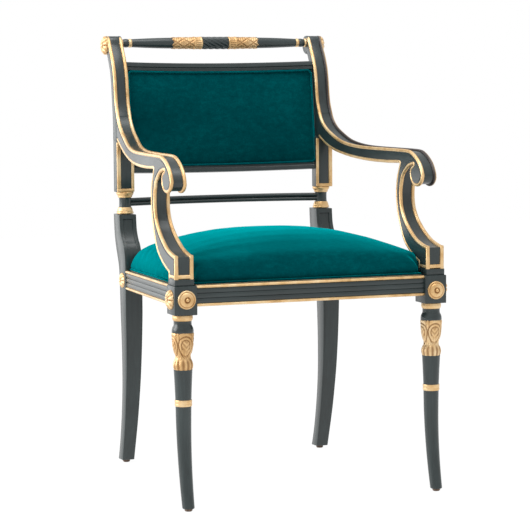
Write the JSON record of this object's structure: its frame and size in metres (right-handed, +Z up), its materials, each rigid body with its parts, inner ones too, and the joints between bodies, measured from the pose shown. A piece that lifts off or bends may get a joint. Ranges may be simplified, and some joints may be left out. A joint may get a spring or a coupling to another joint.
{
  "type": "barrister armchair",
  "caption": "Neoclassical open armchair in ebonised wood with gilt edges, reeded seat rails, scrolled arms, turned front legs, a turned crest rail and a velvet seat and back.",
  "frame": {"origin": "on the floor under the middle of the chair's overall width and depth, with Z=0 at the underside of the glides", "axes": "+Z up; +X to the right seen from the front; +Y to the rear, so the seated person faces -Y"},
  "size_m": [0.5648, 0.5928, 0.8815],
  "materials": {
    "ebonised_wood": "satin ebonised wood, lightly rubbed at the edges",
    "gilt_wood": "water-gilded wood, slightly worn",
    "velvet": "teal velvet",
    "beech": "plain beech, unfinished",
    "jute": "woven jute webbing",
    "steel": "zinc-plated screws",
    "dust_cloth": "black woven dust cloth",
    "glide": "brown nail-on glide"
  },
  "bodies": {
    "root": {"front_leg_left": "ebonised_wood", "front_leg_right": "ebonised_wood", "rear_post_left": "ebonised_wood", "rear_post_right": "ebonised_wood", "arm_left": "ebonised_wood", "arm_right": "ebonised_wood", "arm_support_left": "ebonised_wood", "arm_support_right": "ebonised_wood", "front_seat_rail": "ebonised_wood", "rear_seat_rail": "ebonised_wood", "side_seat_rail_left": "ebonised_wood", "side_seat_rail_right": "ebonised_wood", "corner_block_front_left": "beech", "corner_block_front_right": "beech", "corner_block_rear_left": "beech", "corner_block_rear_right": "beech", "corner_block_screws": "steel", "seat_frame": "beech", "seat_webbing": "jute", "seat_pad": "velvet", "dust_cover": "dust_cloth", "seat_screws": "steel", "crest_rail": "ebonised_wood", "back_stretcher": "ebonised_wood", "back_top_rail": "ebonised_wood", "back_bottom_rail": "ebonised_wood", "back_stile_left": "ebonised_wood", "back_stile_right": "ebonised_wood", "back_board": "beech", "back_pad": "velvet", "back_rear_cover": "velvet", "front_rosette_left": "gilt_wood", "front_rosette_right": "gilt_wood", "side_rosette_left": "gilt_wood", "side_rosette_right": "gilt_wood", "rear_rosette_left": "gilt_wood", "rear_rosette_right": "gilt_wood", "scroll_rosette_left": "gilt_wood", "scroll_rosette_right": "gilt_wood", "seat_rail_dowels": "beech", "arm_dowels": "beech", "support_dowels": "beech", "arm_rear_dowels": "beech", "back_dowels": "beech", "glides": "glide"}
  },
  "joints": []
}
